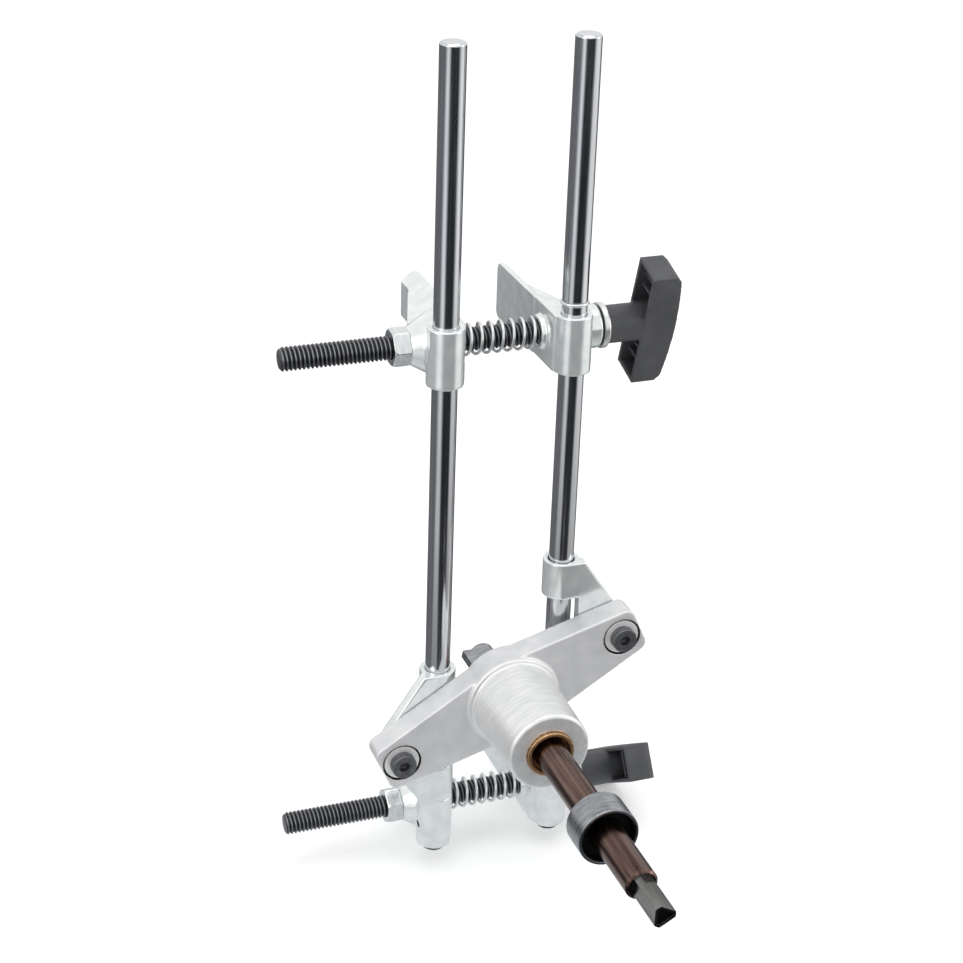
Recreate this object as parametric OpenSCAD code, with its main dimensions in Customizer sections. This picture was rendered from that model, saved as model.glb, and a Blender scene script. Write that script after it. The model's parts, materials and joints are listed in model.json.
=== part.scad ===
// Lock mortise router jig: two guide rods clamped to the edge of a door by two
// screw clamps, and a tilting carriage that keeps a cutter spindle midway between them.
// X runs across the door, Y into the door from its edge, Z up along the rods.
// The origin lies on the gripping face of the lower right jaw, at the height of the
// lower clamp screw and in the plane of the door's edge. Sizes are in millimetres.

/* [Door and clamps] */
// Thickness of the door that the jaws are set to
door_t = 44; // [38:0.5:46]
// Height between the two clamp screws
clamp_spacing = 264.5; // [230:0.5:300]
// Clamp screw axis in front of the door's edge
screw_setback = 10.5; // [10:0.5:13]
// Wall between the clamp screw and the guide rod
screw_rod_wall = 4.1; // [3:0.1:6]

/* [Guide rods] */
// Diameter of both guide rods
rod_d = 12.7; // [11:0.1:14]
// Length of both guide rods
rod_len = 434.5; // [400:0.5:460]
// Length of rod that shows below the lower jaws
rod_foot = 3.5; // [1:0.5:8]
// Chamfer at the rod ends
rod_chamfer = 1; // [0.5:0.1:1.5]
// Rod axis outboard of the gripping face
rod_offset = 10.8; // [10.5:0.1:13]

/* [Jaws] */
// Height of each jaw
jaw_h = 30; // [28:0.5:36]
// Wall of the tube around the rod
tube_wall = 2.9; // [2.5:0.1:3.5]
// Length of the gripping pad behind the door's edge
pad_len = 51; // [35:1:60]
// Length of the gripping pad in front of the door's edge
pad_lead = 1; // [0.5:0.1:1.5]
// Thickness of the gripping pad
pad_t = 8; // [7:0.5:10]
// Thickness of the pad at its top and bottom edge
pad_edge_t = 2.5; // [2:0.5:3.5]
// Height of the slope on the outer side of the pad
pad_slope = 6; // [4:0.5:8]
// Corner radius at the tip of the pad
pad_tip_r = 4; // [2:0.5:8]
// Set back of the web's inner face from the gripping face
web_recess = 0.5; // [0.3:0.1:1]
// Thickness of the web where it leaves the pad
web_t = 3; // [2:0.5:4]
// Angle at which the web's flank meets the tube
flank_angle = 45; // [35:1:55]
// Height of the rib between the screw boss and the pad
rib_h = 16; // [10:1:20]
// Reach of the rib behind the door's edge
rib_reach = 40; // [25:1:48]
// Wall of the right jaws' round screw boss
boss_wall = 5; // [4:0.1:6]
// Reach of the right jaws' boss from the gripping face
boss_reach = 29.5; // [26:0.5:36]
// Reach of the left jaws' flared boss from the gripping face
nut_seat = 25; // [20:0.5:30]
// Wall of the left jaws' flared boss at the nut
flare_wall = 2.8; // [2:0.1:5]
// Radius of the left jaws' flared boss at the pad
flare_root_r = 19; // [16:0.5:21]
// Height of the spring seats above the gripping faces
seat_h = 2; // [1:0.5:3]
// Gap between the foot of a spring seat and the gripping pad
seat_gap = 0.4; // [0.2:0.1:0.6]
// Taper of the spring seats from foot to face
seat_taper = 0.6; // [0.2:0.1:0.8]

/* [Rod fixings] */
// Diameter of the grub screws that lock the jaws on the rods
grub_d = 4; // [4:0.5:6]
// Width across the flats of the grub screw's socket
grub_socket = 2; // [2:0.1:3]
// Depth of the grub screw below the tube's surface
grub_sink = 0.4; // [0.2:0.1:0.8]
// Grub screw below the clamp screw's height
grub_drop = 3; // [3:0.5:8]
// Wire of the snap ring above the upper right jaw
snap_wire = 1.6; // [1.4:0.1:2.2]
// Depth of the snap ring in its groove
snap_seat = 0.7; // [0.4:0.1:0.8]
// Snap ring above the top of the jaw
snap_gap = 5; // [1:0.1:7]
// Angle that the open snap ring covers
snap_sweep = 320; // [280:5:340]
// Direction of the snap ring's gap, from +X towards +Y
snap_angle = 60; // [0:5:180]

/* [Clamp screws] */
// Outer diameter of the clamp screws
screw_d = 12; // [10:0.1:13]
// Length of screw beyond the nut
screw_tail = 55; // [40:1:70]
// Depth of the screw in the handle's hub
screw_grip = 20; // [12:1:24]
// Chamfer at the screw's free end
screw_chamfer = 1.6; // [0.8:0.1:2]

/* [Clamp nuts] */
// Width across the flats of the nut
nut_af = 17; // [16:0.5:22]
// Length of the nut
nut_t = 8.5; // [6:0.5:14]
// Depth of the chamfer on a nut's outer corners
nut_chamfer = 1; // [0.5:0.1:1.5]
// Turn of the upper nut about its screw
upper_nut_angle = 30; // [0:5:55]

/* [Handle washers] */
// Diameter of the fibre washer
fibre_d = 20; // [18:0.5:22]
// Thickness of the fibre washer
fibre_t = 1; // [0.8:0.1:2]
// Diameter of the steel thrust washer
thrust_d = 23; // [21:0.5:26]
// Thickness of the steel thrust washer
thrust_t = 3; // [2:0.1:5]

/* [Tee handles] */
// Wall of the handle's hub around the screw
hub_wall = 3.6; // [3:0.1:5.5]
// Length of hub between the thrust washer and the bar
hub_len = 17.8; // [14:0.2:22]
// Length of the bar
bar_len = 65; // [55:1:80]
// Width of the bar
bar_w = 19.4; // [18:0.1:22]
// Depth of the bar at its ends
bar_depth = 15; // [13:0.5:18]
// Rise of the bowed outer face at mid length
bar_bow = 2.7; // [1:0.1:4]
// Chamfer along the outer edge of each end of the bar
bar_chamfer = 2.5; // [1:0.1:3]
// Wall of the hollow bar
bar_wall = 2; // [1.5:0.1:2.5]
// Ribs on each side of the hub
bar_ribs = 2; // [1:1:3]
// Thickness of a rib
rib_t = 1.5; // [1:0.1:2]
// Depth of the ribs below the mouth of the bar
rib_sink = 4; // [2:0.5:6]
// Turn of the upper handle from upright
upper_handle_angle = 17; // [-90:1:90]
// Turn of the lower handle from upright
lower_handle_angle = 56; // [-90:1:90]

/* [Clamp springs] */
// Diameter of the spring wire
wire_d = 1.6; // [1.2:0.1:1.8]
// Room between the screw and the inside of the spring
spring_room = 0.6; // [0.5:0.05:0.8]
// Turns of each spring
spring_turns = 7; // [6:1:9]

/* [Sliders] */
// Height of each slider
slider_h = 77; // [70:1:90]
// Height of each lug around the rod
lug_h = 20.5; // [16:0.5:24]
// Wall of a lug around the rod
lug_wall = 2.5; // [2:0.1:3]
// Thickness of the flange that carries the pivot
flange_t = 6.5; // [5.5:0.1:8]
// Half width of the flange at its top and bottom edge
flange_shoulder = 10; // [9:0.5:11]
// Radius of the flange around the pivot
eye_r = 8; // [7:0.5:9]
// Room between the rod and the flange in the slider's window
window_room = 0.9; // [0.5:0.1:1.5]

/* [Carriage plate] */
// Distance between the two pivots
pivot_span = 129.5; // [120:0.5:140]
// Tilt of the plate from level on a door of the set thickness
tilt_angle = 24.5; // [18:0.5:28]
// Wall between a counterbore and the plate's end
end_wall = 0.8; // [0.8:0.1:4]
// Height of the plate at its ends
plate_end_h = 25; // [24:0.5:28]
// Height of the plate at its middle
plate_mid_h = 44; // [40:0.5:50]
// Length of the plate's straight middle
plate_mid_len = 14; // [6:1:30]
// Corner radius of the plate's ends
plate_corner_r = 5; // [2:0.5:8]
// Thickness of the plate
plate_t = 14; // [12:0.5:16]
// Gap between the sliders and the plate
plate_gap = 0.5; // [0.3:0.1:1]
// Diameter of the counterbores for the pivot screws
cbore_d = 20; // [17:0.2:21]
// Depth of the counterbores
cbore_depth = 2.2; // [2:0.1:6]

/* [Spindle boss] */
// Diameter of the step ring at the foot of the boss
ring_d = 49; // [47:0.5:52]
// Height of the step ring
ring_t = 2.5; // [1.5:0.1:4]
// Diameter of the boss above its step ring
boss_base_d = 45; // [43:0.5:46.5]
// Diameter of the boss at its front face
boss_front_d = 42; // [38:0.5:42.5]
// Length of the boss in front of the plate
boss_len = 51.2; // [40:0.2:60]
// Chamfer around the boss's front face
boss_chamfer = 1.2; // [0.5:0.1:2]

/* [Pivot screws] */
// Diameter of the pivot screws
pivot_d = 8; // [6:0.5:8.5]
// Diameter of the pivot screws' heads
head_d = 13; // [12:0.5:14]
// Height of the pivot screws' heads
head_h = 5; // [4:0.5:9]
// Width across the flats of the sockets
socket_af = 5; // [4:0.5:7]
// Depth of the sockets
socket_depth = 3.5; // [2.5:0.5:5]
// Thickness of the pivot washers
pivot_washer_t = 1.6; // [1:0.1:2]
// Gap between a pivot washer and its counterbore
washer_gap = 0.8; // [0.5:0.1:1.5]

/* [Spindle bushes] */
// Wall of the bronze bushes
bush_wall = 4; // [3:0.1:5]
// Length of the front bush
front_bush_len = 28; // [20:1:35]
// Length of the rear bush
rear_bush_len = 20; // [14:1:26]
// Length of the front bush that stands out of the boss
bush_proud = 2; // [1:0.1:3]
// Lip around the recess in the front bush
bush_lip = 1.7; // [1:0.1:2.5]
// Depth of the recess in the front bush
bush_recess = 5; // [2:0.5:8]

/* [Spindle] */
// Diameter of the spindle
spindle_d = 16; // [14:0.5:17]
// Length of spindle beyond the depth collar
spindle_tail = 38; // [20:1:50]
// Chamfer at the spindle's shoulder
spindle_chamfer = 1.2; // [0.5:0.1:2]
// Round diameter of the three-sided drive shank
shank_d = 12; // [10:0.5:12.5]
// Distance of the shank's flats from its axis
shank_flat = 4.3; // [3.8:0.1:5]
// Length of the drive shank
shank_len = 23; // [18:1:30]
// Wall around the pocket in the shank's end
shank_wall = 1.6; // [1:0.1:2.5]
// Depth of the pocket in the shank's end
shank_pocket = 3; // [1:0.5:6]
// Diameter of the stub that carries the cutter
stub_d = 9; // [7:0.5:10]
// Length of the stub
stub_len = 13; // [9:1:15]

/* [Depth collar] */
// Outer diameter of the collar
collar_d = 30; // [28:0.5:34]
// Length of the collar
collar_len = 16; // [12:0.5:20]
// Distance from the front bush to the collar
plunge_room = 56; // [30:1:70]
// Rim of the collar around its seal
collar_rim = 1.6; // [1:0.1:2.5]
// Thickness of the collar's seal
seal_t = 3; // [2:0.5:4]
// Depth of the seal below the collar's rim
seal_sink = 5; // [1:0.5:8]

/* [Cutter] */
// Cutting diameter
cutter_d = 22; // [18:1:26]
// Length of the cutter
cutter_len = 22; // [18:1:24]
// Diameter of the cutter's core
core_d = 13.5; // [13:0.5:15]
// Thickness of the cutter's wings
wing_t = 4; // [3:0.5:5]
// Thickness of the carbide tips
tip_t = 1.6; // [1:0.1:2]
// Width of the carbide tips
tip_w = 5; // [3:0.5:6]
// Gap between the cutter and the door's edge
cutter_clear = 3; // [1:0.5:5]

/* [Fits] */
// Radial clearance of running fits
run_fit = 0.05; // [0.02:0.01:0.1]
// Radial clearance of pieces that are fixed in each other
seat_fit = 0.03; // [0.02:0.01:0.1]
// Radial clearance of the screw in the left jaws
pass_fit = 0.5; // [0.3:0.1:0.8]
// Radial clearance of the right slider on its rod
link_fit = 0.5; // [0.4:0.05:0.6]

/* [Hidden] */
$fn = 64;

ZINC = [0.76, 0.79, 0.80];
BRIGHT = [0.88, 0.89, 0.90];
DARK_STEEL = [0.26, 0.27, 0.30];
BLACK_OXIDE = [0.13, 0.13, 0.14];
PLASTIC = [0.20, 0.20, 0.22];
ALUMINIUM = [0.78, 0.78, 0.79];
BRONZE = [0.66, 0.45, 0.27];
SPINDLE_BROWN = [0.25, 0.16, 0.15];
GREY_STEEL = [0.42, 0.43, 0.45];
CARBIDE = [0.55, 0.56, 0.58];

// Length by which a cutting solid overshoots the face that it opens
over = 1;

// Radii and bores
rod_r = rod_d / 2;
screw_r = screw_d / 2;
tube_r = rod_r + seat_fit + tube_wall;
lug_r = rod_r + link_fit + lug_wall;
spring_r = screw_r + spring_room + wire_d / 2;
seat_foot_r = screw_setback - pad_lead - seat_gap;
boss_r = screw_r + boss_wall;
hub_r = screw_r + hub_wall;
bush_r = spindle_d / 2 + bush_wall;
nut_r = nut_af / 2 / cos(30);
nut_face_r = nut_r - nut_chamfer;

// Places along Y
rod_y = -(screw_setback + screw_r + screw_rod_wall + rod_r);
screw_y = -screw_setback;
slider_front_y = rod_y - lug_r;
plate_back_y = slider_front_y - plate_gap;
plate_front_y = plate_back_y - plate_t;
boss_front_y = plate_front_y - boss_len;
bush_front_y = boss_front_y - bush_proud;
collar_back_y = bush_front_y - plunge_room;
collar_front_y = collar_back_y - collar_len;
shoulder_y = collar_front_y - spindle_tail;
cutter_back_y = -cutter_clear - cutter_len;

// Places along X, measured outboard from a gripping face
thrust_x = boss_reach + fibre_t;
hub_x = thrust_x + thrust_t;
bar_x = hub_x + hub_len;

// The carriage: the pivots stand outboard of the rods as far as the tilted plate reaches
mid_x = -door_t / 2;
pivot_half = pivot_span * cos(tilt_angle) / 2;
pivot_offset = pivot_half - door_t / 2 - rod_offset;
left_pivot_z = jaw_h / 2 + slider_h / 2;
right_pivot_z = left_pivot_z + pivot_span * sin(tilt_angle);
plate_z = (left_pivot_z + right_pivot_z) / 2;

function unit(v) = v / norm(v);

// Points of an arc of radius r that rounds the corner b between a and c
function round_corner(a, b, c, r, steps = 6) =
    let (u = unit(a - b), w = unit(c - b), half = acos(u * w) / 2)
    let (centre = b + unit(u + w) * r / sin(half))
    let (from = b + u * r / tan(half) - centre, to = b + w * r / tan(half) - centre)
    [for (i = [0:steps]) centre + r * unit(from * (1 - i / steps) + to * i / steps)];

// Point where the line from s touches a circle, on its outboard side
function touch_point(s, centre, r) =
    let (d = centre - s, reach = sqrt(d * d - r * r), turn = atan2(d[1], d[0]) + asin(r / norm(d)))
    s + reach * [cos(turn), sin(turn)];

// The right side is drawn as it stands, the left side is its mirror image in the door
module on_left() {
    translate([-door_t, 0, 0])
        mirror([1, 0, 0])
            children();
}

module at_upper() {
    translate([0, 0, clamp_spacing])
        children();
}

// A solid along the clamp screw's axis, outboard from x
module along_screw(x) {
    translate([x, screw_y, 0])
        rotate([0, 90, 0])
            children();
}

// A solid along the spindle's axis, towards the user from y
module along_spindle(y) {
    translate([mid_x, y, plate_z])
        rotate([90, 0, 0])
            children();
}

// Rod with chamfered ends, standing on z = 0
module chamfered_rod(r, length, chamfer) {
    rotate_extrude()
        polygon([[0, 0], [r - chamfer, 0], [r, chamfer], [r, length - chamfer],
            [r - chamfer, length], [0, length]]);
}

module disc(outer_r, inner_r, t) {
    difference() {
        cylinder(h = t, r = outer_r);
        translate([0, 0, -over])
            cylinder(h = t + 2 * over, r = inner_r);
    }
}

// Guide rods
module guide_rod() {
    translate([rod_offset, rod_y, -jaw_h / 2 - rod_foot])
        chamfered_rod(rod_r, rod_len, rod_chamfer);
}

snap_z = clamp_spacing + jaw_h / 2 + snap_gap;
snap_ring_r = rod_r - snap_seat + snap_wire / 2;

module right_guide_rod() {
    color(DARK_STEEL)
        difference() {
            guide_rod();
            translate([rod_offset, rod_y, snap_z])
                disc(rod_r + over, rod_r - snap_seat - seat_fit, snap_wire + 2 * seat_fit);
        }
}

module left_guide_rod() {
    color(DARK_STEEL)
        on_left()
            guide_rod();
}

module rod_snap_ring() {
    color(BRIGHT)
        translate([rod_offset, rod_y, snap_z + snap_wire / 2 + seat_fit])
            rotate([0, 0, snap_angle + (360 - snap_sweep) / 2])
                rotate_extrude(angle = snap_sweep)
                    translate([snap_ring_r, 0])
                        circle(d = snap_wire, $fn = 24);
}

// Jaws, drawn for the right side with the clamp screw at z = 0
// Web between the tube on the rod and the pad
module web_plan() {
    flank = [rod_offset + tube_r * cos(flank_angle), rod_y + tube_r * sin(flank_angle)];
    polygon([[web_recess, 0], [web_recess, rod_y], [rod_offset, rod_y], flank, [web_recess + web_t, 0]]);
    translate([rod_offset, rod_y])
        circle(r = tube_r);
}

// Rib that carries the clamping force from the screw boss out to the pad
module rib_plan() {
    foot = web_recess + web_t;
    polygon([[foot, screw_y], [nut_seat, screw_y], [pad_t, rib_reach], [foot, rib_reach]]);
}

// Section of the pad, with a slope along the top and the bottom of its outer side
module pad_section() {
    h = jaw_h / 2;
    ridge = h - pad_slope;
    polygon([[0, -h], [pad_edge_t, -h], [pad_t, -ridge], [pad_t, ridge], [pad_edge_t, h], [0, h]]);
}

// Side outline that rounds the corners of the pad's tip
module pad_side() {
    h = jaw_h / 2;
    top = round_corner([0, h], [pad_len, h], [pad_len, -h], pad_tip_r);
    bottom = round_corner([pad_len, h], [pad_len, -h], [0, -h], pad_tip_r);
    polygon(concat([[-pad_lead, -h], [-pad_lead, h]], top, bottom));
}

module pad() {
    intersection() {
        translate([0, pad_len, 0])
            rotate([90, 0, 0])
                linear_extrude(pad_len + pad_lead)
                    pad_section();
        translate([-over, 0, 0])
            rotate([90, 0, 90])
                linear_extrude(pad_t + 2 * over)
                    pad_side();
    }
}

// Round boss along the screw, kept within the height of the jaw
module screw_boss(boss_end, root_r, end_r) {
    intersection() {
        along_screw(pad_t)
            cylinder(h = boss_end - pad_t, r1 = root_r, r2 = end_r);
        translate([0, screw_y - 2 * root_r, -jaw_h / 2])
            cube([boss_end + over, 4 * root_r, jaw_h]);
    }
    along_screw(web_recess)
        cylinder(h = pad_t, r = end_r);
}

module jaw_casting(boss_end, boss_root_r, boss_end_r, bore_fit) {
    difference() {
        union() {
            translate([0, 0, -jaw_h / 2])
                linear_extrude(jaw_h)
                    web_plan();
            translate([0, 0, -rib_h / 2])
                linear_extrude(rib_h)
                    rib_plan();
            pad();
            screw_boss(boss_end, boss_root_r, boss_end_r);
            along_screw(-seat_h)
                cylinder(h = seat_h + web_recess + over, r1 = seat_foot_r - seat_taper, r2 = seat_foot_r);
        }
        along_screw(-seat_h - over)
            cylinder(h = boss_end + seat_h + 2 * over, r = screw_r + bore_fit);
        translate([rod_offset, rod_y, -jaw_h / 2 - over])
            cylinder(h = jaw_h + 2 * over, r = rod_r + seat_fit);
    }
}

// Place of a grub screw: side 1 is outboard of the rod, side -1 is inboard
module grub_place(side) {
    translate([rod_offset, rod_y, -grub_drop])
        rotate([0, 90 * side, 0])
            children();
}

module jaw(boss_end, boss_root_r, boss_end_r, bore_fit, grub_side) {
    difference() {
        jaw_casting(boss_end, boss_root_r, boss_end_r, bore_fit);
        grub_place(grub_side)
            cylinder(h = tube_r + over, d = grub_d);
    }
}

module right_jaw() {
    jaw(boss_reach, boss_r, boss_r, run_fit, 1);
}

module left_jaw(grub_side) {
    jaw(nut_seat, flare_root_r, screw_r + flare_wall, pass_fit, grub_side);
}

module lower_right_jaw() {
    color(ZINC)
        right_jaw();
}

module upper_right_jaw() {
    color(ZINC)
        at_upper()
            right_jaw();
}

module lower_left_jaw() {
    color(ZINC)
        on_left()
            left_jaw(1);
}

module upper_left_jaw() {
    color(ZINC)
        at_upper()
            on_left()
                left_jaw(-1);
}

module grub_screw(side) {
    foot = rod_r + seat_fit;
    length = tube_r - grub_sink - foot;
    grub_place(side)
        translate([0, 0, foot])
            difference() {
                cylinder(h = length, d = grub_d - 2 * seat_fit);
                translate([0, 0, length / 2])
                    cylinder(h = length, d = grub_socket / cos(30), $fn = 6);
            }
}

module right_grub_screws() {
    color(BLACK_OXIDE) {
        grub_screw(1);
        at_upper()
            grub_screw(1);
    }
}

module left_grub_screws() {
    color(BLACK_OXIDE)
        on_left() {
            grub_screw(1);
            at_upper()
                grub_screw(-1);
        }
}

// Clamp nuts
module clamp_nut(angle) {
    on_left()
        along_screw(nut_seat)
            intersection() {
                difference() {
                    rotate([0, 0, angle])
                        cylinder(h = nut_t, r = nut_r, $fn = 6);
                    translate([0, 0, -over])
                        cylinder(h = nut_t + 2 * over, r = screw_r + run_fit);
                }
                cylinder(h = nut_t, r1 = nut_face_r + nut_t * tan(30), r2 = nut_face_r);
            }
}

module lower_clamp_nut() {
    color(ZINC)
        clamp_nut(0);
}

module upper_clamp_nut() {
    color(ZINC)
        at_upper()
            clamp_nut(upper_nut_angle);
}

// Clamp screws
screw_end_x = -door_t - nut_seat - nut_t - screw_tail;
screw_len = hub_x + screw_grip - screw_end_x;

module clamp_screw() {
    along_screw(screw_end_x)
        chamfered_rod(screw_r, screw_len, screw_chamfer);
}

module lower_clamp_screw() {
    color(BLACK_OXIDE)
        clamp_screw();
}

module upper_clamp_screw() {
    color(BLACK_OXIDE)
        at_upper()
            clamp_screw();
}

// Handle washers
module lower_fibre_washer() {
    color(BLACK_OXIDE)
        along_screw(boss_reach)
            disc(fibre_d / 2, screw_r + run_fit, fibre_t);
}

module upper_fibre_washer() {
    at_upper()
        lower_fibre_washer();
}

module lower_thrust_washer() {
    color(BRIGHT)
        along_screw(thrust_x)
            disc(thrust_d / 2, screw_r + run_fit, thrust_t);
}

module upper_thrust_washer() {
    at_upper()
        lower_thrust_washer();
}

// Tee handles: the bar's side view has its mouth at x = 0 and a bowed outer face
module bar_side(depth, half_len, bow) {
    bow_r = (half_len * half_len + bow * bow) / (2 * bow);
    intersection() {
        translate([-over, -half_len])
            square([depth + bow + 2 * over, 2 * half_len]);
        translate([depth + bow - bow_r, 0])
            circle(r = bow_r, $fn = 256);
    }
}

module bar_block(depth, half_len, bow, width) {
    nose = bow + bar_chamfer;
    translate([0, width / 2, 0])
        rotate([90, 0, 0])
            linear_extrude(width)
                intersection() {
                    bar_side(depth, half_len, bow);
                    polygon([[0, -half_len], [depth - bar_chamfer, -half_len], [depth + bow, nose - half_len],
                        [depth + bow, half_len - nose], [depth - bar_chamfer, half_len], [0, half_len]]);
                }
}

module bar_hollow() {
    width = bar_w - 2 * bar_wall;
    half = bar_len / 2 - bar_wall;
    rib_pitch = (half - hub_r) / (bar_ribs + 1);
    difference() {
        translate([0, width / 2, 0])
            rotate([90, 0, 0])
                linear_extrude(width)
                    bar_side(bar_depth - bar_wall, half, bar_bow);
        for (side = [-1, 1])
            for (i = [1:bar_ribs])
                translate([rib_sink, -bar_w / 2, side * (hub_r + i * rib_pitch) - rib_t / 2])
                    cube([bar_depth + bar_bow, bar_w, rib_t]);
    }
}

module tee_handle(angle) {
    translate([bar_x, screw_y, 0])
        rotate([angle, 0, 0])
            difference() {
                union() {
                    difference() {
                        bar_block(bar_depth, bar_len / 2, bar_bow, bar_w);
                        bar_hollow();
                    }
                    translate([-hub_len, 0, 0])
                        rotate([0, 90, 0])
                            cylinder(h = hub_len + bar_depth, r = hub_r);
                }
                translate([-hub_len - over, 0, 0])
                    rotate([0, 90, 0])
                        cylinder(h = screw_grip + over, r = screw_r + seat_fit);
            }
}

module lower_tee_handle() {
    color(PLASTIC)
        tee_handle(lower_handle_angle);
}

module upper_tee_handle() {
    color(PLASTIC)
        at_upper()
            tee_handle(upper_handle_angle);
}

// Clamp springs: one left-hand helical tube whose ends stand square on the jaws' spring seats
CURL_RINGS = 8;
TUBE_SIDES = 6;
spring_len = door_t - 2 * seat_h;
helix_len = spring_len - 2 * wire_d;
helix_rings = CURL_RINGS * spring_turns;

function helix_point(i) =
    let (turn = 360 * i / CURL_RINGS)
    [wire_d + helix_len * i / helix_rings, spring_r * cos(turn), -spring_r * sin(turn)];

spring_path = concat([[0, spring_r, 0]], [for (i = [0:helix_rings]) helix_point(i)],
    [[spring_len, spring_r, 0]]);

// Ring of points around the path, square to the spring's axis at both ends
function tube_ring(path, i) =
    let (last = len(path) - 1)
    let (ahead = i <= 1 || i >= last - 1 ? [1, 0, 0] : unit(path[i + 1] - path[i - 1]))
    let (out = unit([0, path[i][1], path[i][2]]))
    let (side = unit(cross(ahead, out)), rise = cross(side, ahead))
    [for (k = [0:TUBE_SIDES - 1])
        let (a = 360 * k / TUBE_SIDES)
        path[i] + wire_d / 2 * (cos(a) * rise + sin(a) * side)];

function tube_faces(rings) =
    let (n = TUBE_SIDES, end = (rings - 1) * n)
    concat(
        [for (k = [1:n - 2]) [0, k, k + 1]],
        [for (k = [1:n - 2]) [end, end + k + 1, end + k]],
        [for (i = [0:rings - 2]) for (k = [0:n - 1]) [i * n + k, i * n + n + k, i * n + (k + 1) % n]],
        [for (i = [0:rings - 2]) for (k = [0:n - 1])
            [i * n + (k + 1) % n, i * n + n + k, i * n + n + (k + 1) % n]]);

spring_rings = [for (i = [0:len(spring_path) - 1]) tube_ring(spring_path, i)];
spring_gap = min([for (i = [0:helix_rings - CURL_RINGS])
    norm(helix_point(i + CURL_RINGS) - helix_point(i))]) - wire_d;
echo(spring_least_gap = spring_gap);

module clamp_spring() {
    translate([seat_h - door_t, screw_y, 0])
        polyhedron(points = [for (ring = spring_rings) each ring], faces = tube_faces(len(spring_path)));
}

module lower_clamp_spring() {
    color(BRIGHT)
        clamp_spring();
}

module upper_clamp_spring() {
    color(BRIGHT)
        at_upper()
            clamp_spring();
}

// Sliders, drawn for the right side around the rod's axis with the pivot at z = 0
module flange_outline() {
    h = slider_h / 2;
    eye = [pivot_offset, 0];
    upper = touch_point([flange_shoulder, h], eye, eye_r);
    polygon([[0, h], [flange_shoulder, h], upper, [upper[0], -upper[1]], [flange_shoulder, -h], [0, -h]]);
    translate(eye)
        circle(r = eye_r);
}

module slider(fit) {
    window_h = slider_h - 2 * lug_h;
    window_u = rod_r + window_room;
    difference() {
        union() {
            for (end = [-1, 1])
                translate([0, 0, end * (slider_h - lug_h) / 2])
                    cylinder(h = lug_h, r = lug_r, center = true);
            difference() {
                translate([0, flange_t - lug_r, 0])
                    rotate([90, 0, 0])
                        linear_extrude(flange_t)
                            flange_outline();
                translate([window_u - 2 * lug_r, -lug_r - over, -window_h / 2])
                    cube([2 * lug_r, 2 * lug_r + 2 * over, window_h]);
            }
        }
        cylinder(h = slider_h + 2 * over, r = rod_r + fit, center = true);
        translate([pivot_offset, 0, 0])
            rotate([90, 0, 0])
                cylinder(h = 4 * lug_r, d = pivot_d + 2 * seat_fit, center = true);
    }
}

module left_slider() {
    color(ZINC)
        on_left()
            translate([rod_offset, rod_y, left_pivot_z])
                slider(run_fit);
}

module right_slider() {
    color(ZINC)
        translate([rod_offset, rod_y, right_pivot_z])
            slider(link_fit);
}

// Carriage plate with its spindle boss, drawn around the spindle's axis
module plate_outline() {
    half = pivot_span / 2 + cbore_d / 2 + end_wall;
    e = plate_end_h / 2;
    m = plate_mid_h / 2;
    w = plate_mid_len / 2;
    corners = [[w, m], [half, e], [half, -e], [w, -m], [-w, -m], [-half, -e], [-half, e], [-w, m]];
    n = len(corners);
    polygon([for (i = [0:n - 1])
        each round_corner(corners[(i + n - 1) % n], corners[i], corners[(i + 1) % n], plate_corner_r)]);
}

module tilted() {
    along_spindle(plate_back_y)
        rotate([0, 0, tilt_angle])
            children();
}

module carriage_plate() {
    front = plate_t + boss_len;
    color(ALUMINIUM)
        tilted()
            difference() {
                union() {
                    linear_extrude(plate_t)
                        plate_outline();
                    cylinder(h = plate_t + ring_t, d = ring_d);
                    translate([0, 0, plate_t])
                        cylinder(h = boss_len - boss_chamfer, d1 = boss_base_d, d2 = boss_front_d);
                    translate([0, 0, front - boss_chamfer])
                        cylinder(h = boss_chamfer, d1 = boss_front_d, d2 = boss_front_d - 2 * boss_chamfer);
                }
                translate([0, 0, -over])
                    cylinder(h = front + 2 * over, r = bush_r + seat_fit);
                for (side = [-1, 1])
                    translate([side * pivot_span / 2, 0, 0]) {
                        translate([0, 0, -over])
                            cylinder(h = plate_t + 2 * over, d = pivot_d + 2 * run_fit);
                        translate([0, 0, plate_t - cbore_depth])
                            cylinder(h = cbore_depth + over, d = cbore_d);
                    }
            }
}

// Pivot screws and washers: local z runs towards the user from the flange's back face
module left_pivot() {
    translate([mid_x - pivot_half, slider_front_y + flange_t, left_pivot_z])
        rotate([90, 0, 0])
            children();
}

module right_pivot() {
    translate([mid_x + pivot_half, slider_front_y + flange_t, right_pivot_z])
        rotate([90, 0, 0])
            children();
}

washer_z = flange_t + plate_gap + plate_t - cbore_depth;
head_z = washer_z + pivot_washer_t;

module pivot_screw() {
    difference() {
        union() {
            cylinder(h = head_z + over, d = pivot_d);
            translate([0, 0, head_z])
                cylinder(h = head_h, d = head_d);
        }
        translate([0, 0, head_z + head_h - socket_depth])
            cylinder(h = socket_depth + over, d = socket_af / cos(30), $fn = 6);
    }
}

module pivot_washer() {
    translate([0, 0, washer_z])
        disc(cbore_d / 2 - washer_gap, pivot_d / 2 + seat_fit, pivot_washer_t);
}

module left_pivot_screw() {
    color(BLACK_OXIDE)
        left_pivot()
            pivot_screw();
}

module right_pivot_screw() {
    color(BLACK_OXIDE)
        right_pivot()
            pivot_screw();
}

module left_pivot_washer() {
    color(BRIGHT)
        left_pivot()
            pivot_washer();
}

module right_pivot_washer() {
    color(BRIGHT)
        right_pivot()
            pivot_washer();
}

// Spindle bushes
module bush(length) {
    disc(bush_r, spindle_d / 2 + run_fit, length);
}

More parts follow.
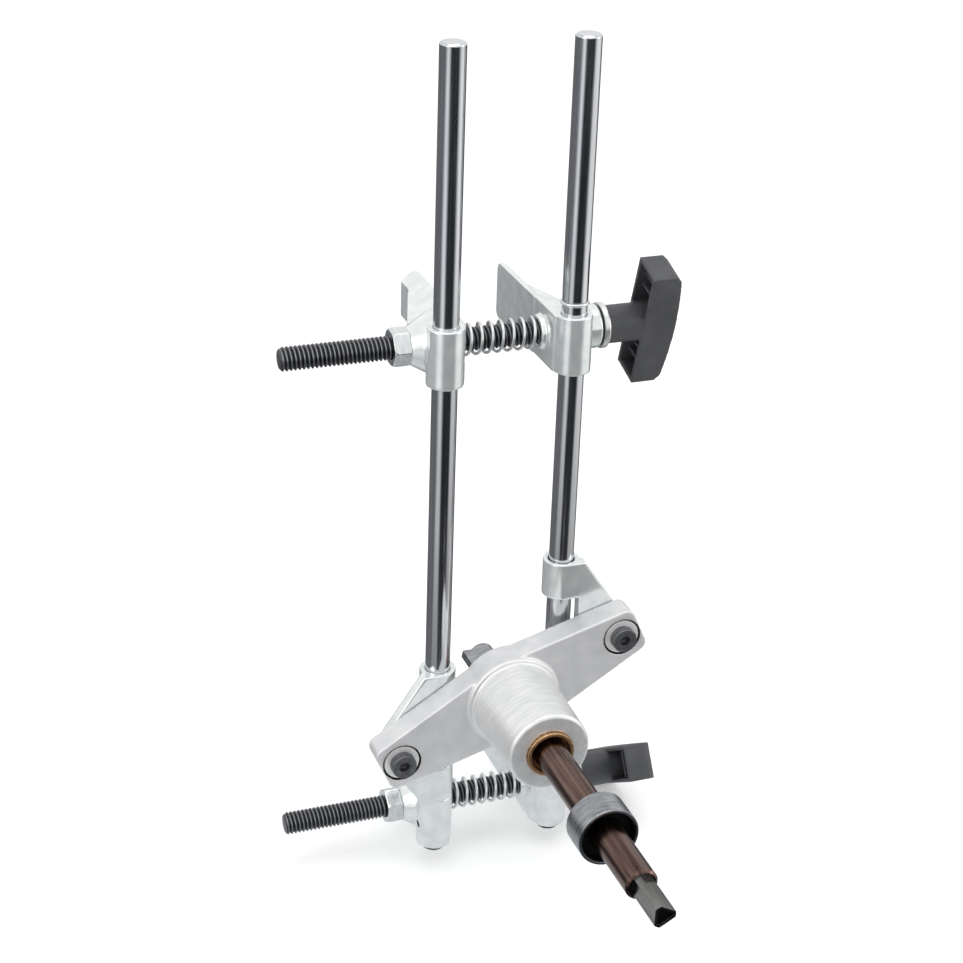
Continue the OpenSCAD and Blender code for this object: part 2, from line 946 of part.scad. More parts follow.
module front_spindle_bush() {
    color(BRONZE)
        along_spindle(bush_front_y + front_bush_len)
            difference() {
                bush(front_bush_len);
                translate([0, 0, front_bush_len - bush_recess])
                    cylinder(h = bush_recess + over, r = bush_r - bush_lip);
            }
}

module rear_spindle_bush() {
    color(BRONZE)
        along_spindle(plate_back_y)
            bush(rear_bush_len);
}

// Round bar with three flats at a distance from its axis
module three_sided(r, flat, length) {
    intersection() {
        cylinder(h = length, r = r);
        cylinder(h = length, r = 2 * flat, $fn = 3);
    }
}

// Spindle: cutter stub, round body and three-sided drive shank
module spindle() {
    body_len = cutter_back_y - shoulder_y;
    color(SPINDLE_BROWN)
        along_spindle(cutter_back_y) {
            chamfered_rod(spindle_d / 2, body_len, spindle_chamfer);
            translate([0, 0, -stub_len])
                cylinder(h = stub_len + over, d = stub_d);
            translate([0, 0, body_len - over])
                difference() {
                    three_sided(shank_d / 2, shank_flat, shank_len + over);
                    translate([0, 0, shank_len + over - shank_pocket])
                        three_sided(shank_d / 2 - shank_wall, shank_flat - shank_wall, shank_pocket + over);
                }
        }
}

// Depth collar and its seal
seal_r = collar_d / 2 - collar_rim;

module depth_collar() {
    color(GREY_STEEL)
        along_spindle(collar_back_y)
            difference() {
                disc(collar_d / 2, spindle_d / 2 + run_fit, collar_len);
                translate([0, 0, collar_len - seal_sink - seal_t])
                    cylinder(h = seal_sink + seal_t + over, r = seal_r);
            }
}

module collar_seal() {
    color(BLACK_OXIDE)
        along_spindle(collar_front_y + seal_sink + seal_t)
            disc(seal_r - seat_fit, spindle_d / 2 + run_fit, seal_t);
}

// Cutter: a core with two wings, each with a carbide tip on its leading face
module wing_blank() {
    linear_extrude(cutter_len)
        intersection() {
            circle(d = cutter_d);
            translate([0, -wing_t])
                square([cutter_d, wing_t]);
        }
}

module tip_blank() {
    linear_extrude(cutter_len)
        intersection() {
            circle(d = cutter_d);
            translate([cutter_d / 2 - tip_w, -tip_t])
                square([tip_w, tip_t]);
        }
}

module two_fold() {
    for (a = [0, 180])
        rotate([0, 0, a])
            children();
}

module at_cutter() {
    along_spindle(-cutter_clear)
        children();
}

module cutter_body() {
    color(GREY_STEEL)
        at_cutter()
            difference() {
                union() {
                    cylinder(h = cutter_len, d = core_d);
                    two_fold()
                        wing_blank();
                }
                two_fold()
                    translate([0, 0, -over])
                        linear_extrude(cutter_len + 2 * over)
                            translate([cutter_d / 2 - tip_w, -tip_t])
                                square([tip_w + over, tip_t + over]);
                translate([0, 0, cutter_len - stub_len - over])
                    cylinder(h = stub_len + 2 * over, d = stub_d + 2 * seat_fit);
            }
}

module cutter_tips() {
    color(CARBIDE)
        at_cutter()
            two_fold()
                tip_blank();
}

right_guide_rod();
left_guide_rod();
lower_right_jaw();
upper_right_jaw();
lower_left_jaw();
upper_left_jaw();
right_grub_screws();
left_grub_screws();
rod_snap_ring();
lower_clamp_nut();
upper_clamp_nut();
lower_clamp_screw();
upper_clamp_screw();
lower_tee_handle();
upper_tee_handle();
lower_fibre_washer();
upper_fibre_washer();
lower_thrust_washer();
upper_thrust_washer();
lower_clamp_spring();
upper_clamp_spring();
left_slider();
right_slider();
carriage_plate();
left_pivot_screw();
right_pivot_screw();
left_pivot_washer();
right_pivot_washer();
front_spindle_bush();
rear_spindle_bush();
spindle();
depth_collar();
collar_seal();
cutter_body();
cutter_tips();
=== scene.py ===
"""Looks of a lock mortise router jig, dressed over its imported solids. Lengths are in metres."""
import json
import math

import bmesh
import bpy
from mathutils import Matrix, Vector


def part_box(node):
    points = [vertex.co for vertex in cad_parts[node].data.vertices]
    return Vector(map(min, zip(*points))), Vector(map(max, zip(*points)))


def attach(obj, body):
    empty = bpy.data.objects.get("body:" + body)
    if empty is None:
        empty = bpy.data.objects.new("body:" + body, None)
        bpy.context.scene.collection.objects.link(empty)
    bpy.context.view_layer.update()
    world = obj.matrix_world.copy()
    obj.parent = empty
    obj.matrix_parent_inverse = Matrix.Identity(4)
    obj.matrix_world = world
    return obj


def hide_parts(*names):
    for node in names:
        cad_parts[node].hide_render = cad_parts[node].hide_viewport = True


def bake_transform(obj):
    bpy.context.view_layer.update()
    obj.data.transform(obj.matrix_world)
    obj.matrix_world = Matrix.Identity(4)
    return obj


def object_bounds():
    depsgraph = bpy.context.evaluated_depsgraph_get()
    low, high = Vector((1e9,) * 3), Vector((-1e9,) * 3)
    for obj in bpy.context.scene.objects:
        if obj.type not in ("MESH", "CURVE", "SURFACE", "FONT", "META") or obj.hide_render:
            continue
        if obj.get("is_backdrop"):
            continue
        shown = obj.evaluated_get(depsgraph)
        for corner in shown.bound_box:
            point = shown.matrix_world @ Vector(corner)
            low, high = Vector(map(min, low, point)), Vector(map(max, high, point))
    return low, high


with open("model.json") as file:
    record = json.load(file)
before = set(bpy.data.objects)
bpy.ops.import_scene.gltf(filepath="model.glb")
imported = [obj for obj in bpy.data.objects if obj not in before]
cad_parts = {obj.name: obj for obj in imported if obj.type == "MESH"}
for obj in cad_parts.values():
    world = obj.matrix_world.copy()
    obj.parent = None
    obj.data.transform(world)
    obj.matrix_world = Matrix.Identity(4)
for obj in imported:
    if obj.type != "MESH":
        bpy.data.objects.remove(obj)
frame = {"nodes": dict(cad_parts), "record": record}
cad_low, cad_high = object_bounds()
cad_nodes = frame["nodes"]
body_of = {node: body for body, members in frame["record"]["behaviour"]["bodies"].items() for node in members}
scene = bpy.context.scene
MM = 0.001


def middle(node):
    low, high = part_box(node)
    return (low + high) / 2


# Node trees

def add(tree, kind, settings):
    """Adds one node. Each setting goes to an input or an option, and a node or an output is linked in."""
    made = tree.nodes.new(kind)
    for key, value in settings.items():
        if isinstance(value, bpy.types.Node):
            value = value.outputs[0]
        if isinstance(value, bpy.types.NodeSocket):
            tree.links.new(value, made.inputs[key])
        elif isinstance(key, int) or key in made.inputs:
            made.inputs[key].default_value = value
        else:
            setattr(made, key, value)
    return made


def colour(code):
    """Linear colour of an sRGB hex value."""
    parts = [int(code[i:i + 2], 16) / 255 for i in (1, 3, 5)]
    return (*[c / 12.92 if c <= 0.04045 else ((c + 0.055) / 1.055) ** 2.4 for c in parts], 1.0)


# Materials

spindle_axis = middle("spindle")


def surface(name, shades, patch, grain, relief, gloss, metallic, stretch=(1, 1, 1), edge_wear_and_highlight=None,
            edge_wear_and_highlight_range=(0.52, 0.62), faced=False, specular=0.5, octaves=3.0):
    """Surface whose shade drifts over patches, with a grain that carries its gloss and relief.

    patch and grain are widths, relief a height, and gloss the least and most roughness. stretch below 1
    draws the pattern out along that axis. The paler edge shade is taken on by the convex edges as their
    pointiness goes through its range: on most finishes it is wear, and on the thread crests it is a painted
    highlight. A faced surface has its grain in rings about the spindle. specular is lower where dust or pores
    dull the surface, and a grain with fewer octaves is rounder."""
    made = bpy.data.materials.new(name)
    made.use_nodes = True
    tree = made.node_tree
    shader = tree.nodes["Principled BSDF"]
    shader.inputs["Metallic"].default_value = metallic
    shader.inputs["Specular IOR Level"].default_value = specular
    point = add(tree, "ShaderNodeTexCoord", {}).outputs["Object"]
    drawn = add(tree, "ShaderNodeMapping", {"vector_type": "TEXTURE", "Vector": point,
                                            "Location": spindle_axis,
                                            "Scale": [1 / share for share in stretch]})
    patches = add(tree, "ShaderNodeTexNoise", {"Vector": drawn, "Scale": 1 / patch, "Detail": 3.0})
    tint = add(tree, "ShaderNodeValToRGB", {"Fac": patches.outputs["Fac"]})
    for element, position, shade in zip(tint.color_ramp.elements, (0.32, 0.68), shades):
        element.position = position
        element.color = colour(shade)
    shown = tint.outputs["Color"]
    if edge_wear_and_highlight:
        edges = add(tree, "ShaderNodeNewGeometry", {}).outputs["Pointiness"]
        edge_wear_and_highlight_mask = add(tree, "ShaderNodeMapRange", {"Value": edges, "From Min": edge_wear_and_highlight_range[0], "From Max": edge_wear_and_highlight_range[1]})
        shown = add(tree, "ShaderNodeMix", {"data_type": "RGBA", 0: edge_wear_and_highlight_mask, 6: shown,
                                            7: colour(edge_wear_and_highlight)}).outputs[2]
    if faced:
        # At scale 1 the rings of a wave texture lie a twentieth of tau apart
        grains = add(tree, "ShaderNodeTexWave", {"wave_type": "RINGS", "rings_direction": "Y",
                                                 "Vector": drawn, "Scale": math.tau / 20 / grain,
                                                 "Distortion": 2.0, "Detail": 3.0}).outputs["Fac"]
    else:
        grains = add(tree, "ShaderNodeTexNoise", {"Vector": drawn, "Scale": 1 / grain,
                                                  "Detail": octaves}).outputs["Fac"]
    sheen = add(tree, "ShaderNodeMapRange", {"Value": grains, "From Min": 0.3, "From Max": 0.7,
                                             "To Min": gloss[0], "To Max": gloss[1]})
    bump = add(tree, "ShaderNodeBump", {"Height": grains, "Strength": 1.0, "Distance": relief})
    tree.links.new(shown, shader.inputs["Base Color"])
    tree.links.new(sheen.outputs["Result"], shader.inputs["Roughness"])
    tree.links.new(bump.outputs["Normal"], shader.inputs["Normal"])
    return made


# Bar steel, ground and polished: bright, with fine streaks along the rod
ground_steel = surface("polished_bar_steel", ("#c6c8cb", "#dadcde"), 1.5 * MM, 0.9 * MM, 0.002 * MM,
                       (0.10, 0.22), 1.0, stretch=(1, 1, 0.02))
# Zinc-plated casting with a clear blue passivation: pale, bluish and bright, with a fine pebble
zinc_casting = surface("blue_zinc_plated_casting", ("#dfe5e5", "#f1f4f3"), 7 * MM, 2.2 * MM, 0.006 * MM,
                       (0.13, 0.24), 0.62, edge_wear_and_highlight="#f6f8f7", octaves=1.0)
# Bright zinc on turned steel: almost white and even, with faint marks of the tool
bright_zinc = surface("bright_zinc_on_steel", ("#d6d8d9", "#e6e7e7"), 7 * MM, 1.2 * MM, 0.006 * MM,
                      (0.28, 0.38), 0.85)
# Bright zinc on a cold-formed nut: the die left its flats smooth, so they mirror more than turned steel
formed_zinc = surface("bright_zinc_on_formed_steel", ("#d2d6d7", "#e8eaea"), 3 * MM, 1.4 * MM, 0.008 * MM,
                      (0.14, 0.26), 1.0, stretch=(1, 0.4, 0.4))
# Bright zinc on a blanked washer: the barrel left its flat faces whiter and duller than turned steel
tumbled_zinc = surface("barrel_plated_zinc", ("#e6e7e6", "#f2f2f1"), 4 * MM, 0.9 * MM, 0.01 * MM,
                       (0.30, 0.42), 0.45)
# Black oxide on machined steel: a thin dark film with a dull sheen, rubbed grey on its edges. The same black
# is also painted as shade on the rod feet below the jaws, in the shank's pocket and inside the collar.
black_oxide_and_painted_shade = surface("black_oxide_and_painted_shade_finish", ("#232426", "#333437"), 4 * MM, 1.0 * MM, 0.01 * MM,
                      (0.32, 0.46), 0.85, edge_wear_and_highlight="#85878b")
# Black oxide on a rolled thread, with a paler grey painted along the crests as a highlight
crest_highlight_thread = surface("black_thread_painted_crest_highlight", ("#2a2b2d", "#393a3d"), 3 * MM, 0.8 * MM, 0.01 * MM,
                        (0.28, 0.42), 0.9, edge_wear_and_highlight="#8f9195", edge_wear_and_highlight_range=(0.5, 0.58))
# Phosphated steel of a cap screw: a mid grey, matt film of fine crystals
phosphated_steel = surface("phosphated_steel", ("#595a5e", "#727377"), 2.5 * MM, 0.8 * MM, 0.02 * MM,
                           (0.36, 0.50), 0.9, edge_wear_and_highlight="#97989b")
# Glass-filled nylon, moulded in a spark-eroded tool: dark grey, with a fine grain drawn a little coarse
moulded_nylon = surface("glass_filled_nylon", ("#404144", "#4b4c4f"), 12 * MM, 0.9 * MM, 0.05 * MM,
                        (0.42, 0.56), 0.0, edge_wear_and_highlight="#5b5c60")
# Matt, almost black washer with a grain like short fibres: its colour is painted shade for the gap beside the
# thrust washer
gap_shade_black = surface("painted_gap_shade_black", ("#1d1d1e", "#2b2a29"), 2 * MM, 0.7 * MM, 0.04 * MM,
                        (0.6, 0.8), 0.0)
# Aluminium casting, tumbled: a pale grey, satin skin with a fine pebble
cast_aluminium = surface("tumbled_aluminium_casting", ("#d6d7d9", "#e3e3e4"), 9 * MM, 1.1 * MM, 0.03 * MM,
                         (0.44, 0.58), 0.6, edge_wear_and_highlight="#eeeeee")
# Aluminium turned on a lathe: rings about the spindle, drawn coarser than the real feed so that they show
turned_aluminium = surface("turned_aluminium", ("#dddede", "#f0f0f0"), 1.3 * MM, 0.9 * MM, 0.02 * MM,
                           (0.36, 0.50), 0.7, stretch=(0.12, 1, 0.12))
# Aluminium faced across its end: the tool's rings run about the spindle and make it a little greyer
faced_aluminium = surface("faced_aluminium", ("#d6d8da", "#e8e9ea"), 4 * MM, 1.4 * MM, 0.015 * MM,
                          (0.36, 0.48), 0.60, faced=True)
# Sintered bearing bronze, turned to size: warm, with open pores
bearing_bronze = surface("bearing_bronze", ("#b58b62", "#d3ae86"), 2 * MM, 0.6 * MM, 0.015 * MM,
                         (0.24, 0.38), 0.9)
# The same bronze painted a darker brown as the shade in its recess, with a little gloss
recess_shade_bronze = surface("painted_recess_shade_bronze", ("#704a2e", "#a0764c"), 2 * MM, 0.6 * MM, 0.02 * MM,
                       (0.22, 0.40), 0.6)
# Painted shadow for the gap around the pivot washers: almost black and matt
painted_counterbore_shade = surface("painted_counterbore_shade", ("#141312", "#23211e"), 2 * MM, 0.8 * MM, 0.03 * MM,
                     (0.5, 0.7), 0.0, specular=0.2)
# Ground shaft steel browned by heat: dark and reddish, with streaks along the spindle
browned_steel = surface("browned_shaft_steel", ("#46322e", "#7f6961"), 1.8 * MM, 0.8 * MM, 0.004 * MM,
                        (0.18, 0.30), 1.0, stretch=(1, 0.03, 1))
# Plain steel turned on a lathe and oiled: dark grey, faintly ringed by the tool
turned_steel = surface("turned_steel", ("#85878b", "#a6a8ac"), 1.8 * MM, 0.9 * MM, 0.01 * MM,
                       (0.24, 0.38), 1.0, stretch=(0.3, 1, 0.3))
# Steel milled along the shank: grey, with marks that run lengthwise, and paler on its convex edges
milled_steel = surface("milled_steel", ("#5c5b59", "#848380"), 1.6 * MM, 0.9 * MM, 0.008 * MM,
                       (0.16, 0.30), 1.0, stretch=(1, 0.05, 1), edge_wear_and_highlight="#b4b3b0")
# Nitrile rubber moulded into the collar: black and matt
nitrile_rubber = surface("nitrile_rubber", ("#060606", "#0e0e0e"), 3 * MM, 0.7 * MM, 0.02 * MM,
                         (0.6, 0.8), 0.0, specular=0.15)
# Tungsten carbide ground on its faces: a cool, dense grey
ground_carbide = surface("ground_carbide", ("#8a8d92", "#a5a8ad"), 1.5 * MM, 0.5 * MM, 0.004 * MM,
                         (0.20, 0.32), 1.0)


# Meshes

# Angles in radians between faces: below the first they are flat, above the others edges are eased or sharp
FLAT_ANGLE = math.radians(0.4)
EASED_ANGLE = math.radians(28)
SHARP_ANGLE = math.radians(24)
CASTING_VOXEL = 0.45 * MM
PLATE_VOXEL = 0.6 * MM
NUT_VOXEL = 0.3 * MM


def cad_copy(node):
    """Merged copy of a solid's mesh, for a piece that takes its place."""
    work = bmesh.new()
    work.from_mesh(cad_nodes[node].data)
    bmesh.ops.remove_doubles(work, verts=work.verts, dist=0.001 * MM)
    return work


def as_mesh(work, name):
    made = bpy.data.meshes.new(name)
    work.to_mesh(made)
    work.free()
    made.materials.clear()
    return made


def applied(carrier):
    """Plain mesh of what a carrier's modifiers make, once the carrier is gone."""
    made = bpy.data.meshes.new_from_object(carrier.evaluated_get(bpy.context.evaluated_depsgraph_get()))
    bpy.data.objects.remove(carrier)
    return made


def reworked(mesh, *steps):
    """Plain mesh that a chain of modifiers makes from another."""
    carrier = bpy.data.objects.new(mesh.name, mesh)
    scene.collection.objects.link(carrier)
    for kind, settings in steps:
        modifier = carrier.modifiers.new(kind, kind)
        for key, value in settings.items():
            setattr(modifier, key, value)
    return applied(carrier)


def place(name, mesh, node, *finishes):
    """Makes a mesh a piece of the object, in the stead of one solid."""
    mesh.name = name
    mesh.materials.clear()
    for finish in finishes:
        mesh.materials.append(finish)
    piece = bpy.data.objects.new(name, mesh)
    scene.collection.objects.link(piece)
    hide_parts(node)
    return piece


def rigid(name, mesh, node, *finishes):
    """Piece that rides with its solid's body."""
    piece = place(name, mesh, node, *finishes)
    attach(piece, body_of[node])
    return piece


def soft_mesh(node, voxel, passes, turn=Matrix()):
    """Solid with the soft edges of a casting or a moulding. turn lays it square to the voxels."""
    work = cad_copy(node)
    bmesh.ops.transform(work, matrix=turn, verts=work.verts)
    mesh = reworked(as_mesh(work, node),
                    ("REMESH", {"mode": "VOXEL", "voxel_size": voxel, "use_smooth_shade": True}),
                    ("SMOOTH", {"factor": 0.5, "iterations": passes}))
    mesh.transform(turn.inverted())
    return mesh


def eased_mesh(node, width, cut=None):
    """Machined solid with its edges broken by a small bevel. cut is a height to part its faces at."""
    work = cad_copy(node)
    bmesh.ops.dissolve_limit(work, angle_limit=FLAT_ANGLE, verts=work.verts, edges=work.edges)
    if cut is not None:
        bmesh.ops.bisect_plane(work, geom=[*work.verts, *work.edges, *work.faces],
                               plane_co=(0, 0, cut), plane_no=(0, 0, 1))
    mesh = reworked(as_mesh(work, node),
                    ("BEVEL", {"width": width, "segments": 2, "limit_method": "ANGLE",
                               "angle_limit": EASED_ANGLE, "use_clamp_overlap": True}))
    mesh.shade_smooth()
    mesh.set_sharp_from_angle(angle=SHARP_ANGLE)
    # The large faces keep their own normals, so that a bevel does not bend the light along them
    return reworked(mesh, ("WEIGHTED_NORMAL", {"keep_sharp": True, "weight": 100}))


def from_line(point, through):
    """Distance of a point from the line along Y through another."""
    return math.hypot(point.x - through.x, point.z - through.z)


# Geometry Nodes

WIRE_SIDES = 12


def new_tree(name, **inputs):
    """Empty tree that gives a mesh, with one named input for each size and a finish."""
    tree = bpy.data.node_groups.new(name, "GeometryNodeTree")
    for label, kind in inputs.items():
        tree.interface.new_socket(label, in_out="INPUT", socket_type="NodeSocket" + kind)
    tree.interface.new_socket("finish", in_out="INPUT", socket_type="NodeSocketMaterial")
    tree.interface.new_socket("mesh", in_out="OUTPUT", socket_type="NodeSocketGeometry")
    return tree, add(tree, "NodeGroupInput", {}).outputs


def end_tree(tree, mesh, finish):
    smooth = add(tree, "GeometryNodeSetShadeSmooth", {"Geometry": mesh})
    real = add(tree, "GeometryNodeRealizeInstances", {"Geometry": smooth})
    done = add(tree, "GeometryNodeSetMaterial", {"Geometry": real, "Material": finish})
    add(tree, "NodeGroupOutput", {"mesh": done})


def grown(name, tree, **sizes):
    """Plain mesh that a tree makes from these sizes."""
    carrier = bpy.data.objects.new(name, bpy.data.meshes.new(name))
    scene.collection.objects.link(carrier)
    modifier = carrier.modifiers.new(name, "NODES")
    modifier.node_group = tree
    for item in tree.interface.items_tree:
        if item.in_out == "INPUT":
            modifier[item.identifier] = sizes[item.name]
    return applied(carrier)


def thread_tree():
    """Right-hand screw thread along +X, closed at both ends, with a chamfer at each."""
    tree, size = new_tree("screw_thread", start="Vector", length="Float", radius="Float", depth="Float",
                          pitch="Float", chamfer="Float", rows="Int", sides="Int")
    grid = add(tree, "GeometryNodeMeshGrid", {"Size X": 1.0, "Size Y": 1.0, "Vertices X": size["rows"],
                                              "Vertices Y": size["sides"]})
    at = add(tree, "ShaderNodeSeparateXYZ", {0: add(tree, "GeometryNodeInputPosition", {})}).outputs
    # The grid lies about the origin, so both shares run from 0 to 1
    along = add(tree, "ShaderNodeMath", {"operation": "ADD", 0: at["X"], 1: 0.5})
    around = add(tree, "ShaderNodeMath", {"operation": "ADD", 0: at["Y"], 1: 0.5})
    reach = add(tree, "ShaderNodeMath", {"operation": "MULTIPLY", 0: along, 1: size["length"]})
    pitches = add(tree, "ShaderNodeMath", {"operation": "DIVIDE", 0: reach, 1: size["pitch"]})
    turned = add(tree, "ShaderNodeMath", {"operation": "ADD", 0: pitches, 1: around})
    # From the crest down to the root and up again, with an eighth of the pitch flat on each
    fall = add(tree, "ShaderNodeMath", {"operation": "PINGPONG", 0: turned, 1: 0.5})
    flank = add(tree, "ShaderNodeMapRange", {"Value": fall, "From Min": 1 / 16, "From Max": 7 / 16})
    cut = add(tree, "ShaderNodeMath", {"operation": "MULTIPLY", 0: flank, 1: size["depth"]})
    crest = add(tree, "ShaderNodeMath", {"operation": "SUBTRACT", 0: size["radius"], 1: cut})
    # The chamfers cap the radius near each end, and the end rows close on the axis
    left = add(tree, "ShaderNodeMath", {"operation": "SUBTRACT", 0: size["length"], 1: reach})
    from_end = add(tree, "ShaderNodeMath", {"operation": "MINIMUM", 0: reach, 1: left})
    nose = add(tree, "ShaderNodeMath", {"operation": "SUBTRACT", 0: size["radius"], 1: size["chamfer"]})
    lead = add(tree, "ShaderNodeMath", {"operation": "ADD", 0: nose, 1: from_end})
    capped = add(tree, "ShaderNodeMath", {"operation": "MINIMUM", 0: crest, 1: lead})
    inside = add(tree, "ShaderNodeMath", {"operation": "GREATER_THAN", 0: from_end, 1: 0.01 * MM})
    radius = add(tree, "ShaderNodeMath", {"operation": "MULTIPLY", 0: capped, 1: inside})
    angle = add(tree, "ShaderNodeMath", {"operation": "MULTIPLY", 0: around, 1: -math.tau})
    cosine = add(tree, "ShaderNodeMath", {"operation": "COSINE", 0: angle})
    sine = add(tree, "ShaderNodeMath", {"operation": "SINE", 0: angle})
    y = add(tree, "ShaderNodeMath", {"operation": "MULTIPLY", 0: radius, 1: cosine})
    z = add(tree, "ShaderNodeMath", {"operation": "MULTIPLY", 0: radius, 1: sine})
    spot = add(tree, "ShaderNodeCombineXYZ", {"X": reach, "Y": y, "Z": z})
    moved = add(tree, "ShaderNodeVectorMath", {"operation": "ADD", 0: spot, 1: size["start"]})
    shaped = add(tree, "GeometryNodeSetPosition", {"Geometry": grid, "Position": moved})
    closed = add(tree, "GeometryNodeMergeByDistance", {"Geometry": shaped, "Distance": 0.005 * MM})
    end_tree(tree, closed, size["finish"])
    return tree


def spring_tree():
    """Left-hand compression spring along +X with open ends."""
    tree, size = new_tree("clamp_spring", start="Vector", length="Float", radius="Float", wire="Float",
                          turns="Float", points="Int")
    line = add(tree, "GeometryNodeMeshLine", {"Count": size["points"]})
    path = add(tree, "GeometryNodeMeshToCurve", {"Mesh": line})
    last = add(tree, "ShaderNodeMath", {"operation": "SUBTRACT", 0: size["points"], 1: 1.0})
    index = add(tree, "GeometryNodeInputIndex", {})
    share = add(tree, "ShaderNodeMath", {"operation": "DIVIDE", 0: index, 1: last})
    turned = add(tree, "ShaderNodeMath", {"operation": "MULTIPLY", 0: share, 1: size["turns"]})
    # The wire keeps its own half thickness inside both ends
    rise = add(tree, "ShaderNodeMath", {"operation": "SUBTRACT", 0: size["length"], 1: size["wire"]})
    climbed = add(tree, "ShaderNodeMath", {"operation": "MULTIPLY", 0: share, 1: rise})
    wire_radius = add(tree, "ShaderNodeMath", {"operation": "MULTIPLY", 0: size["wire"], 1: 0.5})
    x = add(tree, "ShaderNodeMath", {"operation": "ADD", 0: climbed, 1: wire_radius})
    angle = add(tree, "ShaderNodeMath", {"operation": "MULTIPLY", 0: turned, 1: -math.tau})
    cosine = add(tree, "ShaderNodeMath", {"operation": "COSINE", 0: angle})
    sine = add(tree, "ShaderNodeMath", {"operation": "SINE", 0: angle})
    y = add(tree, "ShaderNodeMath", {"operation": "MULTIPLY", 0: size["radius"], 1: cosine})
    z = add(tree, "ShaderNodeMath", {"operation": "MULTIPLY", 0: size["radius"], 1: sine})
    spot = add(tree, "ShaderNodeCombineXYZ", {"X": x, "Y": y, "Z": z})
    moved = add(tree, "ShaderNodeVectorMath", {"operation": "ADD", 0: spot, 1: size["start"]})
    coil = add(tree, "GeometryNodeSetPosition", {"Geometry": path, "Position": moved})
    ring = add(tree, "GeometryNodeCurvePrimitiveCircle", {"Resolution": WIRE_SIDES, "Radius": wire_radius})
    wire = add(tree, "GeometryNodeCurveToMesh", {"Curve": coil, "Profile Curve": ring, "Fill Caps": True})
    end_tree(tree, wire, size["finish"])
    return tree


# Guide rods, with the foot that stands below the jaw painted black as shade

foot_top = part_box("lower_left_jaw")[0].z
for rod in ("right_guide_rod", "left_guide_rod"):
    piece = rigid(rod + "_ground", eased_mesh(rod, 0.3 * MM, foot_top), rod, ground_steel, black_oxide_and_painted_shade)
    for face in piece.data.polygons:
        if face.center.z < foot_top:
            face.material_index = 1

# Jaws and sliders

for jaw in ("lower_right_jaw", "upper_right_jaw", "lower_left_jaw", "upper_left_jaw"):
    rigid(jaw + "_casting", soft_mesh(jaw, CASTING_VOXEL, passes=14), jaw, zinc_casting)
for slider in ("left_slider", "right_slider"):
    rigid(slider + "_casting", soft_mesh(slider, CASTING_VOXEL, passes=12), slider, zinc_casting)

# Carriage plate: cast, with a boss that is turned on its side and faced on its end

left_pivot, right_pivot = middle("left_pivot_screw"), middle("right_pivot_screw")
pivot_line = right_pivot - left_pivot
level_plate = Matrix.Rotation(math.atan2(pivot_line.z, pivot_line.x), 4, "Y")
cast_plate = soft_mesh("carriage_plate", PLATE_VOXEL, passes=2, turn=level_plate)
plate = rigid("carriage_plate_casting", cast_plate, "carriage_plate",
              cast_aluminium, turned_aluminium, faced_aluminium, painted_counterbore_shade)
# The pivot washers lie almost level with the plate's front, and the boss reaches further
washer_low, washer_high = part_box("left_pivot_washer")
plate_front = washer_low.y
boss_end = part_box("carriage_plate")[0].y
EDGE = 1.2 * MM
BOSS_REACH = 30 * MM
# A face of the boss's end looks this far along -Y
END_FACING = -0.7
counterbore_reach = (washer_high.x - washer_low.x) / 2 + EDGE
for face in plate.data.polygons:
    if face.center.y < boss_end + EDGE and face.normal.y < END_FACING:
        face.material_index = 2
    elif face.center.y < plate_front - EDGE and from_line(face.center, spindle_axis) < BOSS_REACH:
        face.material_index = 1
    # Faces in the gap about each pivot washer are painted almost black as shadow
    elif plate_front - EDGE / 4 < face.center.y < washer_high.y + EDGE and min(
            from_line(face.center, left_pivot), from_line(face.center, right_pivot)) < counterbore_reach:
        face.material_index = 3

# Tee handles

for handle in ("lower_tee_handle", "upper_tee_handle"):
    rigid(handle + "_moulding", soft_mesh(handle, CASTING_VOXEL, passes=5), handle, moulded_nylon)

# Clamp screws, with the pitch that the jaw travel is coupled to

thread = thread_tree()
THREADS_PER_INCH = 12
THREAD_PITCH = 25.4 * MM / THREADS_PER_INCH
THREAD_DEPTH = 1.1 * MM
THREAD_CHAMFER = 1.6 * MM
ROWS_PER_PITCH = 8
THREAD_SIDES = 33
for screw in ("lower_clamp_screw", "upper_clamp_screw"):
    low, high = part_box(screw)
    start = Vector((low.x, middle(screw).y, middle(screw).z))
    rows = round((high.x - low.x) / THREAD_PITCH * ROWS_PER_PITCH) + 1
    # The thread's finish paints its crests paler grey, as a highlight
    threaded = grown(screw, thread, start=start, length=high.x - low.x, radius=(high.z - low.z) / 2,
                     depth=THREAD_DEPTH, pitch=THREAD_PITCH, chamfer=THREAD_CHAMFER, rows=rows,
                     sides=THREAD_SIDES, finish=crest_highlight_thread)
    rigid(screw + "_threaded", threaded, screw, crest_highlight_thread)

# Clamp springs: they reach from the right jaws to the left jaws, and the real ones shorten as those close;
# here each is wound at one fixed length

coil = spring_tree()
WIRE = 1.6 * MM
SPRING_TURNS = 7
SPRING_POINTS = 320
for spring in ("lower_clamp_spring", "upper_clamp_spring"):
    low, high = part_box(spring)
    start = Vector((low.x, middle(spring).y, middle(spring).z))
    wound = grown(spring, coil, start=start, length=high.x - low.x, radius=(high.z - low.z - WIRE) / 2,
                  wire=WIRE, turns=SPRING_TURNS, points=SPRING_POINTS, finish=bright_zinc)
    spring_piece = place(spring + "_wound", wound, spring, bright_zinc)
    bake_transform(spring_piece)

# Nuts, washers and small screws

